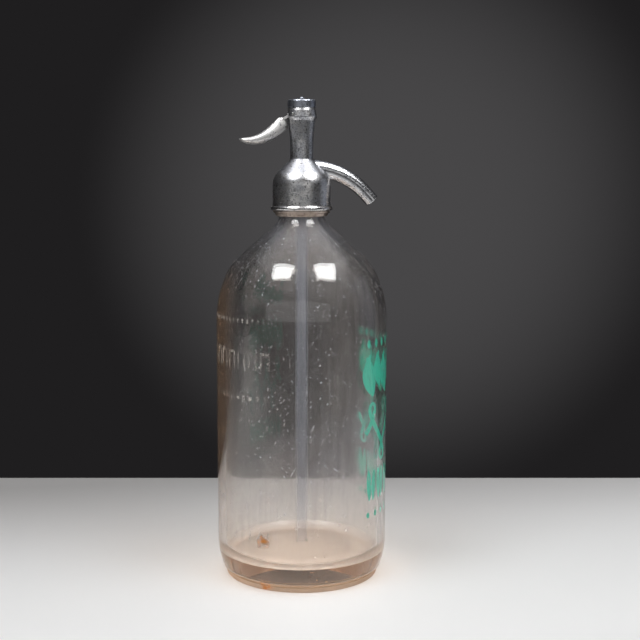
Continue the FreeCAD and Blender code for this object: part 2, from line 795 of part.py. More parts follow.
def pieces():
    return {
        "bottle": bottle(),
        "neck_ring_rear": neck_ring_half(1),
        "neck_ring_front": neck_ring_half(-1),
        "lip_packing": lip_packing(),
        "lip_gasket": lip_gasket(),
        "tube_holder": tube_holder(),
        "head_seal": head_seal(),
        "valve_seat": valve_seat(),
        "dip_tube": dip_tube(),
        "tube_grommet": tube_grommet(),
        "tube_nut": tube_nut(),
        "head_body": head_body(),
        "spout_tube": spout_tube(),
        "rod_packing": rod_packing(),
        "gland_nut": gland_nut(),
        "piston_rod": piston_rod(),
        "valve_cup": valve_cup(),
        "valve_disc": valve_disc(),
        "return_spring": return_spring(),
        "cap_washer": cap_washer(),
        "top_cap": top_cap(),
        "lever": lever(),
        "lever_pin": lever_pin(),
    }


def main():
    os.makedirs("parts", exist_ok=True)
    for name, shape in pieces().items():
        if not shape.isValid() or shape.Volume <= 0:
            print("not a valid solid:", name, shape.Volume)
        shape.exportStep(f"parts/{name}.step")
        print(f"{name}: {len(shape.Solids)} solid, {shape.Volume:.1f} mm3")


main()
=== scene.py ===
"""Looks of a soda siphon: clear pressed bottle with enamel ornament, plated head, lever and spout."""

import math

import bpy
from mathutils import Euler, Matrix, Quaternion, Vector


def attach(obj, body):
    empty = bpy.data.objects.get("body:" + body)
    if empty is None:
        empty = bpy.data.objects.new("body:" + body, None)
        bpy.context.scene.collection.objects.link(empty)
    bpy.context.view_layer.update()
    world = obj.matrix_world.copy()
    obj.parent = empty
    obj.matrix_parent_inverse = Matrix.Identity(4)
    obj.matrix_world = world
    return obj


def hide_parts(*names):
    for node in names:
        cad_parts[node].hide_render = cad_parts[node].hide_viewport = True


MM = 0.001

# Camera and table, in metres and degrees.
CAMERA_PLACE = (-0.13117, -0.74390, 0.25583)
CAMERA_HEADING = 10.0          # clockwise from +Y, seen from above
CAMERA_PITCH = 7.1525          # downwards
CAMERA_LENS = 68.0
CAMERA_SHIFT = 0.0286
TABLE_BACK = 0.227             # from the bottle's axis to the far edge
TABLE_FRONT = 0.7
TABLE_HALF_WIDTH = 1.3
TABLE_THICKNESS = 0.03
# The table's greys along its depth: painted shade where the light falls off towards the front and far
# edges.
TABLE_PAINTED_SHADE = ((-0.70, "3A3A3A"), (-0.36, "8A8A8A"), (-0.20, "FAFAFA"), (-0.10, "F2F2F2"),
                (0.0, "EAEAEA"), (0.10, "D2D1D1"), (0.227, "979594"))
TABLE_LIGHT_TURN = 13.0        # the light falls off towards the far left corner, degrees
TABLE_LIGHT_CENTRE = -0.06     # where along the table the shades above hold

# The room behind: dark, with a soft pool of light on its wall, and a soft pale fill.
WALL_SHADE = "1F1E1F"
WALL_LIGHT = "484748"
WALL_LIGHT_WAY = (0.065, 0.99, -0.03)    # right, away and up, as the camera stands
WALL_LIGHT_SPREAD = 14.5       # degrees
ROOM_FILL = 0.18               # soft light from all round, where 1 is white

# Soft boxes: direction from the bottle (right, away, up), turn about it in degrees, width, height,
# power of the lamp in watts, brightness as gloss shows it, where 1 is white, and colour.
BOX_DISTANCE = 1.7
BOX_AIM = (0, 0, 0.15)
BOXES = {
    "left": ((-0.360, -0.325, 0.868), -66.0, 1.04, 0.70, 14.5, 12.5, "FFFFFF"),
    "right": ((0.448, -0.265, 0.850), 54.0, 1.12, 0.73, 14.5, 12.5, "FFFFFF"),
    "window": ((0.985, 0.170, 0.060), 0.0, 1.10, 1.50, 0.0, 0.32, "C9D0E0"),
    "room_front": ((-0.080, -0.960, 0.215), 0.0, 3.20, 0.70, 0.0, 0.52, "FFFFFF"),
    "ceiling": ((0.000, 0.050, 1.000), 0.0, 2.60, 2.60, 0.0, 0.28, "E6EAF4"),
}

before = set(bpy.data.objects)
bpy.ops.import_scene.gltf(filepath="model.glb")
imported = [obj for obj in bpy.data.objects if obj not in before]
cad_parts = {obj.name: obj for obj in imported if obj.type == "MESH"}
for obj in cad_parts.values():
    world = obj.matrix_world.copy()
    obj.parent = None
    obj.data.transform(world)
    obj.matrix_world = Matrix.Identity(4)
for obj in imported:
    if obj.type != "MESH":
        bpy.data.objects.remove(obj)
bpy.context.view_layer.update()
scene = bpy.context.scene


# Helpers.

def linear(code):
    """The linear colour of an sRGB hex code."""
    shares = [int(code[i:i + 2], 16) / 255 for i in (0, 2, 4)]
    return (*(c / 12.92 if c <= 0.04045 else ((c + 0.055) / 1.055) ** 2.4 for c in shares), 1.0)


def grey(share):
    """A linear grey, where 1 is white."""
    return (share, share, share, 1.0)


def add(tree, kind, inputs=None, out=None, stops=(), **settings):
    """Adds a node with its settings, fills or links its inputs, and gives back one output."""
    node = tree.nodes.new(kind)
    for name, value in settings.items():
        setattr(node, name, value)
    for name, value in (inputs or {}).items():
        if isinstance(value, bpy.types.NodeSocket):
            tree.links.new(value, node.inputs[name])
        else:
            node.inputs[name].default_value = value
    if stops:
        elements = node.color_ramp.elements
        while len(elements) < len(stops):
            elements.new(0.5)
        for element, (place, colour) in zip(elements, stops):
            element.position, element.color = place, colour
    shown = [socket for socket in node.outputs if socket.enabled]
    return node.outputs[out] if out else shown[0] if shown else None


def new_material(name):
    """An empty node material and its tree."""
    material = bpy.data.materials.new(name)
    material.use_nodes = True
    material.node_tree.nodes.clear()
    return material, material.node_tree


def in_mm(tree, stretch=(1, 1, 1), turn=(0, 0, 0)):
    """The place on the object in millimetres, turned and then stretched."""
    return add(tree, "ShaderNodeMapping", {
        "Vector": add(tree, "ShaderNodeTexCoord", out="Object"), "Rotation": turn,
        "Scale": [MM / s for s in stretch]}, vector_type="TEXTURE")


def height_in_mm(tree):
    """Height above the table in millimetres."""
    return add(tree, "ShaderNodeSeparateXYZ", {"Vector": in_mm(tree)}, "Z")


def across_in_mm(tree):
    """Place across the bottle in millimetres, from the lever's side to the spout's."""
    return add(tree, "ShaderNodeSeparateXYZ", {"Vector": in_mm(tree)}, "X")


# Materials.

def marks(tree, spacing, size, stretch=(1, 1, 1), turn=(0, 0, 0), kept=0.5):
    """Scattered dots or strokes, one in some of the cells. Spacing and size are millimetres."""
    cells = {"Vector": in_mm(tree, stretch, turn), "Scale": 1 / spacing}
    away = add(tree, "ShaderNodeTexVoronoi", cells, "Distance")
    lot = add(tree, "ShaderNodeSeparateColor", {
        "Color": add(tree, "ShaderNodeTexVoronoi", cells, "Color")}, "Red")
    reach = size / spacing / 2
    dot = add(tree, "ShaderNodeMapRange", {
        "Value": away, "From Min": 0.7 * reach, "From Max": reach, "To Min": 1.0, "To Max": 0.0})
    return add(tree, "ShaderNodeMath", {
        0: dot, 1: add(tree, "ShaderNodeMath", {0: lot, 1: kept}, operation="LESS_THAN"),
    }, operation="MULTIPLY")


HEAD_FOOT, HEAD_TOP = 230.0, 300.0    # heights that a plate's clouds run between, in millimetres


def plated(name, clean, dull, gloss, pitted, clouds=((0.0, grey(0.3)), (1.0, grey(0.3)))):
    """Old nickel plate on cast brass: rubbed bright by hands, clouded and pricked by damp.

    The eye gets soft highlights with a fine mottle in them, dark pin pricks and some sparkle.
    Clouds gives how dull it is at each height, from the foot of the bell to the top of the cap.
    Real pits are a tenth of a millimetre to half of one wide. They are drawn 0.9 mm wide to show.
    """
    material, tree = new_material(name)
    place = in_mm(tree)
    cloud = add(tree, "ShaderNodeTexNoise", {
        "Vector": place, "Scale": 1 / 5.0, "Detail": 5.0, "Roughness": 0.6})
    grain = add(tree, "ShaderNodeTexNoise", {
        "Vector": place, "Scale": 1 / 0.9, "Detail": 3.0, "Roughness": 0.6})
    mottle = add(tree, "ShaderNodeMix", {"Factor": 0.45, "A": cloud, "B": grain})
    level = add(tree, "ShaderNodeMapRange", {
        "Value": height_in_mm(tree), "From Min": HEAD_FOOT, "From Max": HEAD_TOP})
    dulled = add(tree, "ShaderNodeMath", {
        0: mottle, 1: add(tree, "ShaderNodeValToRGB", {"Fac": level}, stops=clouds)})
    worn = add(tree, "ShaderNodeMapRange", {
        "Value": dulled, "From Min": 0.74, "From Max": 0.98, "To Min": 0.0, "To Max": 1.0},
        interpolation_type="SMOOTHSTEP")
    rough = add(tree, "ShaderNodeMapRange", {
        "Value": dulled, "From Min": 0.66, "From Max": 1.05, "To Min": gloss[0],
        "To Max": gloss[1]})
    plate = add(tree, "ShaderNodeMix", {
        "Factor": worn, "A": linear(clean), "B": linear(dull)}, data_type="RGBA")
    speckled = add(tree, "ShaderNodeMix", {
        "Factor": add(tree, "ShaderNodeMapRange", {
            "Value": grain, "From Min": 0.5, "From Max": 0.66, "To Min": 0.0, "To Max": worn}),
        "A": plate, "B": linear("7E7C7C")}, data_type="RGBA")
    tone = add(tree, "ShaderNodeMix", {
        "Factor": marks(tree, 1.7, 0.9, kept=pitted), "A": speckled, "B": linear("2A2724")},
        data_type="RGBA")
    bump = add(tree, "ShaderNodeBump", {
        "Height": mottle, "Strength": 0.7, "Distance": 0.2 * MM})
    add(tree, "ShaderNodeOutputMaterial", {"Surface": add(tree, "ShaderNodeBsdfPrincipled", {
        "Base Color": tone, "Metallic": 1.0, "Roughness": rough, "Normal": bump})})
    return material


def turned_metal(name, colour, stain, rough):
    """Turned brass or drawn steel: fine rings left by the tool, and a little tarnish."""
    material, tree = new_material(name)
    rings = add(tree, "ShaderNodeTexNoise", {
        "Vector": in_mm(tree, (0.05, 0.05, 1.0)), "Scale": 1 / 0.25, "Detail": 2.0})
    cloud = add(tree, "ShaderNodeTexNoise", {
        "Vector": in_mm(tree), "Scale": 1 / 3.0, "Detail": 3.0})
    tarnish = add(tree, "ShaderNodeMapRange", {
        "Value": cloud, "From Min": 0.45, "From Max": 0.7, "To Min": 0.0, "To Max": 0.6})
    tone = add(tree, "ShaderNodeMix", {
        "Factor": tarnish, "A": linear(colour), "B": linear(stain)}, data_type="RGBA")
    bump = add(tree, "ShaderNodeBump", {
        "Height": rings, "Strength": 0.3, "Distance": 0.03 * MM})
    add(tree, "ShaderNodeOutputMaterial", {"Surface": add(tree, "ShaderNodeBsdfPrincipled", {
        "Base Color": tone, "Metallic": 1.0, "Roughness": rough, "Normal": bump})})
    return material


def moulded(name, colour, pale, rough):
    """Moulded rubber or plastic: matt, with a fine skin and a dusty bloom."""
    material, tree = new_material(name)
    dust = add(tree, "ShaderNodeTexNoise", {
        "Vector": in_mm(tree), "Scale": 1 / 2.0, "Detail": 4.0})
    skin = add(tree, "ShaderNodeTexNoise", {
        "Vector": in_mm(tree), "Scale": 1 / 0.2, "Detail": 2.0})
    bloom = add(tree, "ShaderNodeMapRange", {
        "Value": dust, "From Min": 0.4, "From Max": 0.75, "To Min": 0.0, "To Max": 0.5})
    tone = add(tree, "ShaderNodeMix", {
        "Factor": bloom, "A": linear(colour), "B": linear(pale)}, data_type="RGBA")
    bump = add(tree, "ShaderNodeBump", {
        "Height": skin, "Strength": 0.3, "Distance": 0.05 * MM})
    add(tree, "ShaderNodeOutputMaterial", {"Surface": add(tree, "ShaderNodeBsdfPrincipled", {
        "Base Color": tone, "Roughness": rough, "Normal": bump})})
    return material


def let_lamps_through(tree, surface, through):
    """Rays from lamps pass straight on through the glass, dimmed a little."""
    clear = add(tree, "ShaderNodeBsdfTransparent", {"Color": through})
    return add(tree, "ShaderNodeMixShader", {
        0: add(tree, "ShaderNodeLightPath", out="Is Shadow Ray"), 1: surface, 2: clear})


def veiled(tree, share, under, colour):
    """A thin matt film over a surface: half its light comes back, half goes on through."""
    film = add(tree, "ShaderNodeMixShader", {
        0: 0.5, 1: add(tree, "ShaderNodeBsdfDiffuse", {"Color": colour}),
        2: add(tree, "ShaderNodeBsdfTranslucent", {"Color": colour})})
    return add(tree, "ShaderNodeMixShader", {0: share, 1: under, 2: film})


def streaks(tree, width, length, cloud):
    """Streaks that run down the wall among clouds, sizes in millimetres: 0.5 on average."""
    return add(tree, "ShaderNodeMix", {
        "Factor": 0.5,
        "A": add(tree, "ShaderNodeTexNoise", {
            "Vector": in_mm(tree, (1, 1, width / length)), "Scale": 1 / width, "Detail": 5.0,
            "Roughness": 0.65}),
        "B": add(tree, "ShaderNodeTexNoise", {
            "Vector": in_mm(tree, (1, 1, 0.6)), "Scale": 1 / cloud, "Detail": 6.0,
            "Roughness": 0.6})})


def rusted(tree, centre, radius, share, tone):
    """Adds one ragged rust stain to a film, its centre and radius in millimetres."""
    place = add(tree, "ShaderNodeVectorMath", {0: in_mm(tree), 1: centre}, "Value",
                operation="DISTANCE")
    ragged = add(tree, "ShaderNodeTexNoise", {
        "Vector": in_mm(tree), "Scale": 1 / 3.0, "Detail": 5.0})
    edge = add(tree, "ShaderNodeMath", {0: ragged, 1: 1.4 * radius, 2: place},
               operation="MULTIPLY_ADD")
    rust = add(tree, "ShaderNodeMapRange", {
        "Value": edge, "From Min": 0.7 * radius, "From Max": 1.4 * radius, "To Min": 0.95,
        "To Max": 0.0}, interpolation_type="SMOOTHSTEP")
    return (add(tree, "ShaderNodeMath", {0: share, 1: rust}, operation="MAXIMUM"),
            add(tree, "ShaderNodeMix", {"Factor": rust, "A": tone, "B": linear("CE8438")},
                data_type="RGBA"))


# Scuffs on the glass: spacing and width in mm, stretch, turn, share of cells, strength.
# Real ones are hair lines and specks of a few tenths. They are drawn 1 to 1.7 mm wide to show.
SCUFFS = (
    (2.2, 1.2, (1, 1, 1), (0, 0, 0), 0.45, 0.55),
    (5.5, 1.7, (1, 1, 1), (0, 0, 0), 0.50, 0.9),
    (2.6, 1.0, (1, 1, 0.10), (0.2, 0.5, 0), 0.40, 0.6),
    (2.6, 1.0, (1, 1, 0.14), (0.1, -0.8, 0), 0.40, 0.6),
    (2.4, 1.5, (1, 1, 0.03), (0, 0, 0), 0.40, 0.3),
)

# Rust stains on the glass: centre and radius in millimetres.
RUST_STAINS = (((-31.3, -43.4, 32.0), 9.0), ((-29.0, -38.3, 2.5), 10.0))

# Places across the bottle, in millimetres. The film thins out towards the lever's side, and a tan
# band of painted tint runs down that side, standing in for the brown of the thick glass edge.
CLEAR_SIDE, HAZY_SIDE = -40.0, 5.0
EDGE_TINT_FROM, EDGE_TINT_TO = -51.0, -40.0


def hazier_to_the_right(tree, across, least, most):
    """A film's share of the surface, from the clear side to the hazy one."""
    return add(tree, "ShaderNodeMapRange", {
        "Value": across, "From Min": CLEAR_SIDE, "From Max": HAZY_SIDE, "To Min": least,
        "To Max": most})


def dusty(tree, height, across, dust):
    """Streaked dust in patches, heavier on the shoulder: its share of the surface."""
    shoulder = add(tree, "ShaderNodeMapRange", {
        "Value": height, "From Min": 186.0, "From Max": 214.0, "To Min": 0.005, "To Max": 0.12})
    patches = add(tree, "ShaderNodeMapRange", {
        "Value": streaks(tree, 2.2, 55.0, 20.0), "From Min": 0.47, "From Max": 0.62,
        "To Min": shoulder, "To Max": hazier_to_the_right(tree, across, 0.03, 0.10)},
        interpolation_type="SMOOTHSTEP")
    grain = add(tree, "ShaderNodeMapRange", {
        "Value": dust, "From Min": 0.47, "From Max": 0.62, "To Min": 0.05, "To Max": 1.3})
    return add(tree, "ShaderNodeMath", {0: patches, 1: grain}, operation="MULTIPLY",
               use_clamp=True)


def grimy_foot(tree, height):
    """Grime on the outside of the foot ring: its share of the surface."""
    out_from_axis = add(tree, "ShaderNodeVectorMath", {
        0: add(tree, "ShaderNodeVectorMath", {0: in_mm(tree), 1: (1, 1, 0)},
               operation="MULTIPLY")}, "Value", operation="LENGTH")
    return add(tree, "ShaderNodeMapRange", {
        "Value": height, "From Min": 3.0, "From Max": 8.0, "To Max": 0.0,
        "To Min": add(tree, "ShaderNodeMapRange", {
            "Value": out_from_axis, "From Min": 45.0, "From Max": 47.0, "To Min": 0.0,
            "To Max": 0.76})})


def scuffed(tree, dust, share):
    """Adds specks and scratches to a film, broken up and rubbed away in places."""
    rubbed = add(tree, "ShaderNodeMapRange", {
        "Value": add(tree, "ShaderNodeTexNoise", {
            "Vector": in_mm(tree), "Scale": 1 / 15.0, "Detail": 4.0}),
        "From Min": 0.42, "From Max": 0.58, "To Min": 0.1, "To Max": 1.0})
    broken = add(tree, "ShaderNodeMapRange", {
        "Value": dust, "From Min": 0.44, "From Max": 0.54, "To Min": 0.0, "To Max": rubbed})
    for spacing, width, stretch, turn, kept, strength in SCUFFS:
        scuff = add(tree, "ShaderNodeMath", {
            0: marks(tree, spacing, width, stretch, turn, kept),
            1: add(tree, "ShaderNodeMath", {0: broken, 1: strength}, operation="MULTIPLY"),
        }, operation="MULTIPLY")
        share = add(tree, "ShaderNodeMath", {0: share, 1: scuff}, operation="MAXIMUM")
    return share


def film_outside(tree, height):
    """Dust, scuffs, a painted tan edge tint and, low down, warm grime and rust: share, colour."""
    across = across_in_mm(tree)
    dust = add(tree, "ShaderNodeTexNoise", {
        "Vector": in_mm(tree), "Scale": 1 / 1.1, "Detail": 2.0, "Roughness": 0.6})
    # Painted tint: the tan band down the lever's side stands in for the brown of the thick glass
    # edge.
    painted_edge_tint = add(tree, "ShaderNodeMapRange", {
        "Value": across, "From Min": EDGE_TINT_FROM, "From Max": EDGE_TINT_TO, "To Min": 1.0,
        "To Max": 0.0})
    stain = add(tree, "ShaderNodeMath", {0: painted_edge_tint, 1: 0.09}, operation="MULTIPLY")
    share = dusty(tree, height, across, dust)
    for more in (grimy_foot(tree, height), stain):
        share = add(tree, "ShaderNodeMath", {0: share, 1: more}, operation="MAXIMUM")
    share = scuffed(tree, dust, share)
    low = add(tree, "ShaderNodeMapRange", {
        "Value": height, "From Min": 4.0, "From Max": 50.0, "To Min": 1.0, "To Max": 0.0})
    warm = add(tree, "ShaderNodeMath", {0: low, 1: painted_edge_tint}, operation="MAXIMUM")
    tone = add(tree, "ShaderNodeMix", {
        "Factor": warm, "A": linear("E0E2E8"), "B": linear("B89674")}, data_type="RGBA")
    for centre, radius in RUST_STAINS:
        share, tone = rusted(tree, centre, radius, share, tone)
    return share, tone


# The line that the lime is heavy up to: its rise across the bottle, and how far it wanders in mm.
LIME_TILT = 0.55
LIME_RAGGED = 60.0


def film_inside(tree, height):
    """Streaked lime, heavy up to an uneven, tilted line where soda stood: its share, its colour."""
    patches = streaks(tree, 2.0, 80.0, 24.0)
    cloud = add(tree, "ShaderNodeTexNoise", {
        "Vector": in_mm(tree, (1, 1, 0.5)), "Scale": 1 / 26.0, "Detail": 5.0})
    across = across_in_mm(tree)
    tilted = add(tree, "ShaderNodeMath", {0: across, 1: -LIME_TILT, 2: height},
                 operation="MULTIPLY_ADD")
    level = add(tree, "ShaderNodeMath", {0: cloud, 1: -LIME_RAGGED, 2: tilted},
                operation="MULTIPLY_ADD")
    heavy = add(tree, "ShaderNodeMapRange", {
        "Value": level, "From Min": 36.0, "From Max": 50.0, "To Min": 0.28,
        "To Max": hazier_to_the_right(tree, across, 0.012, 0.034)},
        interpolation_type="SMOOTHSTEP")
    stained_neck = add(tree, "ShaderNodeMapRange", {
        "Value": height, "From Min": 200.0, "From Max": 222.0, "To Min": 0.0, "To Max": 0.1},
        interpolation_type="SMOOTHSTEP")
    thin = add(tree, "ShaderNodeMath", {0: heavy, 1: 0.45, 2: -0.014}, operation="MULTIPLY_ADD")
    lime = add(tree, "ShaderNodeMapRange", {
        "Value": patches, "From Min": 0.48, "From Max": 0.62, "To Min": thin, "To Max": heavy},
        interpolation_type="SMOOTHSTEP")
    settled = add(tree, "ShaderNodeMapRange", {
        "Value": height, "From Min": FLOOR + 0.1, "From Max": FLOOR + 12.2, "To Min": 0.45,
        "To Max": 0.0}, interpolation_type="SMOOTHSTEP")
    share = add(tree, "ShaderNodeMath", {0: lime, 1: stained_neck}, operation="MAXIMUM")
    share = add(tree, "ShaderNodeMath", {0: share, 1: settled}, operation="MAXIMUM")
    warm = add(tree, "ShaderNodeMapRange", {
        "Value": height, "From Min": 8.0, "From Max": 90.0, "To Min": 1.0, "To Max": 0.0})
    pale = add(tree, "ShaderNodeMix", {
        "Factor": warm, "A": linear("C8D0E4"), "B": linear("E0D2C4")}, data_type="RGBA")
    tone = add(tree, "ShaderNodeMix", {
        "Factor": stained_neck, "A": pale, "B": linear("9A8C84")}, data_type="RGBA")
    return share, tone


def pressed_glass():
    """Pressed soda glass: clear and glossy outside, dulled by soda inside, faintly brown in depth.

    The film is thin and streaky on the wall, warm and heavy by the foot, and scuffed all over.
    A rough coat stands for the fine wear outside, which spreads a glow round each highlight.
    """
    material, tree = new_material("pressed_soda_glass")
    height = height_in_mm(tree)
    inside = add(tree, "ShaderNodeAttribute", out="Fac", attribute_name="inside")
    share_out, tone_out = film_outside(tree, height)
    share_in, tone_in = film_inside(tree, height)
    share = add(tree, "ShaderNodeMix", {"Factor": inside, "A": share_out, "B": share_in})
    tone = add(tree, "ShaderNodeMix", {"Factor": inside, "A": tone_out, "B": tone_in},
               data_type="RGBA")
    dulled = add(tree, "ShaderNodeMapRange", {
        "Value": add(tree, "ShaderNodeTexNoise", {
            "Vector": in_mm(tree, (1, 1, 0.08)), "Scale": 1 / 5.0, "Detail": 4.0}),
        "From Min": 0.35, "From Max": 0.65, "To Min": 0.03,
        "To Max": add(tree, "ShaderNodeMapRange", {
            "Value": across_in_mm(tree), "From Min": 5.0, "From Max": 38.0, "To Min": 0.1,
            "To Max": 0.26})})
    ground_foot = add(tree, "ShaderNodeMapRange", {
        "Value": height, "From Min": 2.0, "From Max": 6.0, "To Min": 0.35, "To Max": 0.0})
    swell = add(tree, "ShaderNodeTexNoise", {
        "Vector": in_mm(tree, (1, 1, 0.35)), "Scale": 1 / 14.0, "Detail": 1.0})
    glass = add(tree, "ShaderNodeBsdfPrincipled", {
        "Base Color": linear("FCFAF8"), "IOR": 1.52, "Transmission Weight": 1.0,
        "Roughness": add(tree, "ShaderNodeMix", {
            "Factor": inside, "A": ground_foot, "B": dulled}),
        "Coat Weight": add(tree, "ShaderNodeMix", {"Factor": inside, "A": 0.3, "B": 0.0}),
        "Coat Roughness": 0.42,
        "Coat Normal": add(tree, "ShaderNodeBump", {
            "Height": add(tree, "ShaderNodeTexNoise", {
                "Vector": in_mm(tree), "Scale": 1 / 1.1, "Detail": 2.0}),
            "Strength": 1.0, "Distance": 0.5 * MM}),
        "Normal": add(tree, "ShaderNodeBump", {
            "Height": swell, "Strength": 0.5, "Distance": 0.15 * MM})})
    shade = add(tree, "ShaderNodeMix", {
        "Factor": add(tree, "ShaderNodeMapRange", {
            "Value": height, "From Min": 0.0, "From Max": 8.0, "To Min": 1.0, "To Max": 0.0}),
        "A": linear("F6F3F0"), "B": linear("ACA7A2")}, data_type="RGBA")
    add(tree, "ShaderNodeOutputMaterial", {
        "Surface": let_lamps_through(tree, veiled(tree, share, glass, tone), shade),
        "Volume": add(tree, "ShaderNodeVolumeAbsorption", {
            "Color": linear("DCC2A6"), "Density": 11.0})})
    return material


def drawn_tube():
    """Drawn glass tube, bluish grey and clouded by soda, clearer where it stood deep in it.

    Its IOR is far under glass's 1.5, so that its edges look as faint as they do inside the bottle.
    """
    material, tree = new_material("clouded_drawn_tube")
    height = height_in_mm(tree)
    streak = add(tree, "ShaderNodeTexNoise", {
        "Vector": in_mm(tree, (1, 1, 0.03)), "Scale": 1 / 1.5, "Detail": 3.0})
    thick = add(tree, "ShaderNodeMapRange", {
        "Value": height, "From Min": 30.0, "From Max": 110.0, "To Min": 0.05, "To Max": 0.17})
    share = add(tree, "ShaderNodeMapRange", {
        "Value": streak, "From Min": 0.3, "From Max": 0.7, "To Min": 0.04, "To Max": thick})
    rough = add(tree, "ShaderNodeMapRange", {
        "Value": height, "From Min": 30.0, "From Max": 110.0, "To Min": 0.05, "To Max": 0.26})
    glass = add(tree, "ShaderNodeBsdfPrincipled", {
        "Base Color": linear("FAFBFD"), "Roughness": rough, "IOR": 1.1,
        "Transmission Weight": 1.0})
    add(tree, "ShaderNodeOutputMaterial", {"Surface": let_lamps_through(
        tree, veiled(tree, share, glass, linear("C4CCDC")), linear("E8EAEE"))})
    return material


def fired_enamel():
    """Fired enamel: a thin opaque skin of glossy teal glass, pricked and scuffed."""
    material, tree = new_material("fired_enamel")
    cloud = add(tree, "ShaderNodeTexNoise", {
        "Vector": in_mm(tree), "Scale": 1 / 6.0, "Detail": 4.0})
    tone = add(tree, "ShaderNodeMix", {
        "Factor": cloud, "A": linear("3AD4B8"), "B": linear("4CC4AC")}, data_type="RGBA")
    lit = add(tree, "ShaderNodeMixShader", {
        0: 0.15, 1: add(tree, "ShaderNodeBsdfPrincipled", {
            "Base Color": tone, "Roughness": 0.35, "IOR": 1.5}),
        2: add(tree, "ShaderNodeBsdfTranslucent", {"Color": tone})})
    worn = add(tree, "ShaderNodeMapRange", {
        "Value": add(tree, "ShaderNodeTexNoise", {
            "Vector": in_mm(tree), "Scale": 1 / 0.8, "Detail": 3.0}),
        "From Min": 0.6, "From Max": 0.7, "To Min": 0.0, "To Max": 0.7})
    add(tree, "ShaderNodeOutputMaterial", {"Surface": add(tree, "ShaderNodeMixShader", {
        0: worn, 1: lit, 2: add(tree, "ShaderNodeBsdfTransparent")})})
    return material


def etched_glass():
    """Sand-etched glass: a fine grey frost that catches light from the side."""
    material, tree = new_material("etched_glass")
    frost = add(tree, "ShaderNodeMapRange", {
        "Value": add(tree, "ShaderNodeTexNoise", {
            "Vector": in_mm(tree), "Scale": 1 / 0.9, "Detail": 4.0}),
        "From Min": 0.42, "From Max": 0.62, "To Min": 0.0,
        "To Max": add(tree, "ShaderNodeMapRange", {
            "Value": add(tree, "ShaderNodeTexNoise", {
                "Vector": in_mm(tree), "Scale": 1 / 9.0, "Detail": 3.0}),
            "From Min": 0.4, "From Max": 0.6, "To Min": 0.25, "To Max": 0.7})})
    add(tree, "ShaderNodeOutputMaterial", {"Surface": veiled(
        tree, frost, add(tree, "ShaderNodeBsdfTransparent"), linear("DCDAD6"))})
    return material


# How dull the head's plate is by height, from the foot of the bell: bell, dome, column, collar.
HEAD_CLOUDS = ((0.0, grey(0.30)), (0.28, grey(0.38)), (0.34, grey(0.46)), (0.43, grey(0.46)),
               (0.74, grey(0.42)), (0.82, grey(0.40)), (1.0, grey(0.40)))


def finishes():
    """One material for each slot of the record."""
    return {
        "bottle_glass": pressed_glass(),
        "tube_glass": drawn_tube(),
        "head_plating": plated("worn_nickel_head", "ECEAE8", "B4B6BC", (0.16, 0.44), 0.5,
                               HEAD_CLOUDS),
        "neck_plating": plated("stained_nickel_ring", "CDBFB4", "9A8576", (0.3, 0.5), 0.4),
        "cap_plating": plated("darkened_nickel_cap", "A4A8B2", "7A7E88", (0.3, 0.5), 0.6),
        "lever_plating": plated("satin_nickel_lever", "ECEAE8", "DCDCDE", (0.42, 0.56), 0.1),
        "turned_brass": turned_metal("turned_brass", "C9A25A", "7A5C2E", 0.32),
        "steel_rod": turned_metal("drawn_steel_rod", "B9B9B6", "77726A", 0.28),
        "spring_wire": turned_metal("spring_wire", "A8A8A6", "5E5A55", 0.35),
        "red_rubber": moulded("red_rubber", "7C3B2E", "A07C70", 0.7),
        "black_rubber": moulded("black_rubber", "26262A", "6A6866", 0.65),
        "moulded_plug": moulded("moulded_plug", "3B322B", "7A6E64", 0.4),
    }


def dress_nodes(made):
    """Gives each CAD node its finishes, and the spout, which hands have rubbed, one of its own."""
    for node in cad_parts.values():
        for slot in node.material_slots:
            slot.material = made[slot.material.name]
    spout = plated("rubbed_nickel_spout", "E8E8EA", "C8CCD4", (0.16, 0.36), 0.4)
    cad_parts["spout_tube"].material_slots[0].material = spout


# The bottle, turned from its outline in millimetres. A corner of it is radius, height and round.

ENAMEL_THICKNESS = 0.04
GLASS_RADIUS = 53.5
BOTTLE_RADIUS = GLASS_RADIUS - ENAMEL_THICKNESS    # leaves room for the enamel
BOTTLE_TURNS = 240
ARC_STEP = 3.0                 # degrees
GLASS_WALL = 5.0
FLOOR = 13.8
WALL_TOP = 174.6               # outside, where wall and shoulder would meet as a sharp corner
SHOULDER_LOW_ROUND = 66.0
CONE_FOOT = (44.8, 196.2)      # where the shoulder's steep first stretch gives way to its cone
CONE_LEAN = 48.4               # from the vertical, degrees
SHOULDER_HIGH_ROUND = 33.0
NECK_RADIUS = 13.5
NECK_FOOT = CONE_FOOT[1] + (CONE_FOOT[0] - NECK_RADIUS) / math.tan(math.radians(CONE_LEAN))
NECK_ROUND = 12.0
NECK_LENGTH = 11.1
BORE_RADIUS = 9.0
LIP_RADIUS = 14.6
LIP_FOOT = NECK_FOOT + NECK_LENGTH
LIP_HEIGHT = 5.7
LIP_TOP = LIP_FOOT + LIP_HEIGHT
LIP_ROUND = 1.2
HEEL_RADIUS = 45.0
HEEL_CENTRE = (BOTTLE_RADIUS - HEEL_RADIUS, 22.0)
HEEL_FOOT = 5.2
HEEL_FOOT_RADIUS = HEEL_CENTRE[0] + math.sqrt(HEEL_RADIUS ** 2 - (HEEL_CENTRE[1] - HEEL_FOOT) ** 2)
FOOT_RADIUS = 48.0
FOOT_INNER_RADIUS = 37.0
RIM_TOP = 4.2
GROOVE_DEPTH = 0.6
PUNT_RADIUS = 28.0
PUNT_DEPTH = 3.5
FOOT = [(0.0, PUNT_DEPTH, 0.0), (PUNT_RADIUS, PUNT_DEPTH, 20.0), (FOOT_INNER_RADIUS, 0.0, 1.5),
        (FOOT_RADIUS, 0.0, 0.7), (FOOT_RADIUS, RIM_TOP, 0.7),
        (FOOT_RADIUS - GROOVE_DEPTH, (RIM_TOP + HEEL_FOOT) / 2, 0.3),
        (HEEL_FOOT_RADIUS, HEEL_FOOT, 0.0)]


